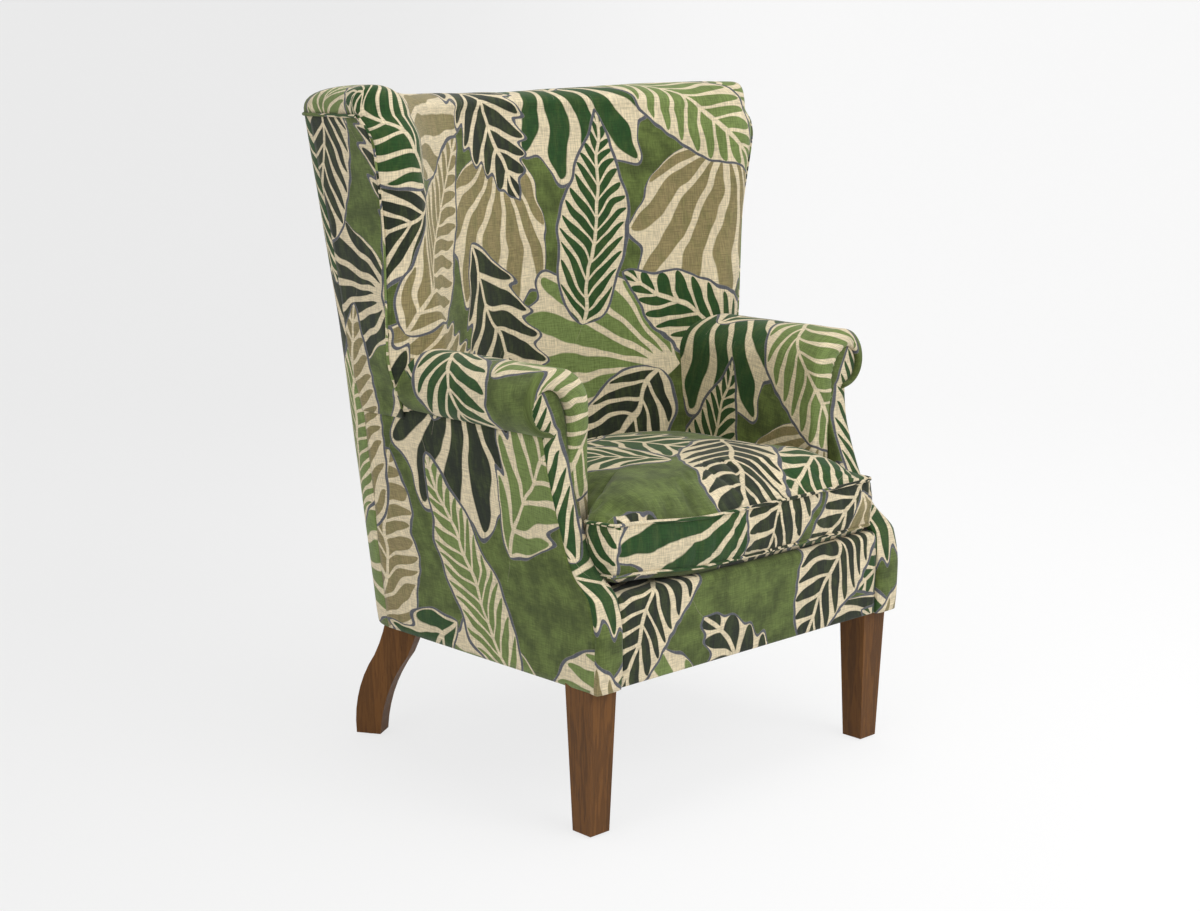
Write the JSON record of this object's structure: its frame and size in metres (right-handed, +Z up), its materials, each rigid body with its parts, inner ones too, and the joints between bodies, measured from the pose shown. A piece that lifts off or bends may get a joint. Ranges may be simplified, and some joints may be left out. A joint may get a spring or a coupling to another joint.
{
  "type": "wing armchair",
  "caption": "Upholstered wing armchair with a barrel back, padded roll arms, loose T seat cushion, tapered front legs and sabre rear legs, covered in leaf-printed cloth",
  "frame": {"origin": "Centre of the footprint on the floor", "axes": "+Z up, the front of the seat faces -Y, +X to the right seen from the front"},
  "size_m": [0.776, 0.6215, 1.018],
  "materials": {
    "leaf_cloth": "slubby woven linen look, printed with leaves in greens, cream and taupe",
    "leg_wood": "mid-brown satin hardwood with fine grain",
    "frame_wood": "plain planed hardwood",
    "webbing": "woven jute webbing",
    "hessian": "open plain-woven hessian",
    "bottom_cloth": "black spunbonded cloth",
    "zinc_steel": "zinc plated",
    "glide_plastic": "dark nylon"
  },
  "bodies": {
    "chair": {"front_leg_right": "leg_wood", "front_leg_left": "leg_wood", "rear_leg_right": "leg_wood", "rear_leg_left": "leg_wood", "leg_bolts": "zinc_steel", "glides": "glide_plastic", "front_rail": "frame_wood", "side_rail_right": "frame_wood", "side_rail_left": "frame_wood", "back_rail": "frame_wood", "corner_block_right": "frame_wood", "corner_block_left": "frame_wood", "front_post_right": "frame_wood", "front_post_left": "frame_wood", "arm_rail_right": "frame_wood", "arm_rail_left": "frame_wood", "tack_rail_right": "frame_wood", "tack_rail_left": "frame_wood", "back_post_right": "frame_wood", "back_post_left": "frame_wood", "wing_post_right": "frame_wood", "wing_post_left": "frame_wood", "wing_rail_right": "frame_wood", "wing_rail_left": "frame_wood", "crest_rail": "frame_wood", "lumbar_rail": "frame_wood", "back_webbing": "webbing", "back_hessian": "hessian", "seat_straps_long": "webbing", "seat_straps_cross": "webbing", "seat_hessian": "hessian", "seat_deck": "leaf_cloth", "front_border": "leaf_cloth", "dust_cover": "bottom_cloth", "outside_back": "leaf_cloth", "outside_arm_right": "leaf_cloth", "outside_arm_left": "leaf_cloth", "outside_wing_right": "leaf_cloth", "outside_wing_left": "leaf_cloth", "facing_right": "leaf_cloth", "facing_left": "leaf_cloth", "arm_pad_right": "leaf_cloth", "arm_pad_left": "leaf_cloth", "inside_back": "leaf_cloth", "inside_wing_right": "leaf_cloth", "inside_wing_left": "leaf_cloth"},
    "seat_cushion": {"seat_cushion": "leaf_cloth"}
  },
  "joints": [
    {"name": "cushion_lift", "type": "slide", "parent": "chair", "child": "seat_cushion", "axis": [0, 0, 1], "range_m": [0, 0.25]}
  ]
}
